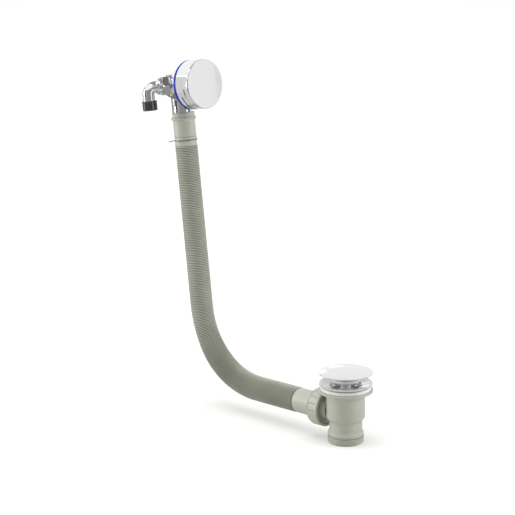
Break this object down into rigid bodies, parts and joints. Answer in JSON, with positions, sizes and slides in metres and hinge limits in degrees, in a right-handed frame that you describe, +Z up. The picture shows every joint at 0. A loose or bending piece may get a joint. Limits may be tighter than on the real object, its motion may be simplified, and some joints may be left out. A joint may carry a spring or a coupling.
{
  "type": "bath overflow filler",
  "caption": "Chromed bath overflow head with water inlet elbow, corrugated overflow hose and push-open bath waste with a domed plug.",
  "frame": {"origin": "centre of the waste outlet's lower end face, on the axis of its 1 1/2 inch thread", "axes": "+Z up along the waste's axis; +X the way the overflow head faces, towards the bath; the hose lies in the plane y = 0 and runs towards -X"},
  "size_m": [0.3556, 0.093, 0.487],
  "materials": {
    "pale_plastic": "satin moulded polypropylene",
    "hose_plastic": "corrugated flexible plastic",
    "chrome": "polished chrome plate",
    "brass": "machined brass",
    "steel": "drawn stainless steel",
    "white_rubber": "moulded white rubber",
    "dark_rubber": "moulded dark rubber",
    "blue_seal": "blue seal"
  },
  "bodies": {
    "set": {"waste_body": "pale_plastic", "spider_insert": "brass", "lower_seal": "white_rubber", "upper_seal": "dark_rubber", "waste_flange": "chrome", "clamp_screw": "brass", "click_post": "steel", "return_spring": "steel", "union_nut": "pale_plastic", "taper_seal": "dark_rubber", "slip_washer": "white_rubber", "hose_tail": "pale_plastic", "overflow_hose": "hose_plastic", "hose_socket": "pale_plastic", "wire_clip": "steel", "outlet_ring": "dark_rubber", "head_body": "chrome", "wall_seal": "blue_seal", "cap_carrier": "pale_plastic", "carrier_screws": "steel", "cap_ring": "dark_rubber", "overflow_cap": "chrome", "filler_nozzle": "brass", "inlet_tail": "chrome", "inlet_washer": "dark_rubber", "inlet_nut": "chrome", "inlet_elbow": "chrome"},
    "plug": {"plug_dome": "chrome", "plug_carrier": "chrome", "plug_seal": "white_rubber", "stem_sleeve": "chrome"}
  },
  "joints": [
    {"name": "plug_slide", "type": "slide", "parent": "set", "child": "plug", "axis": [0, 0, 1], "range_m": [-0.0095, 0], "stiffness_N_per_m": 450, "springref_m": 0.012, "deforming": ["return_spring"]}
  ]
}
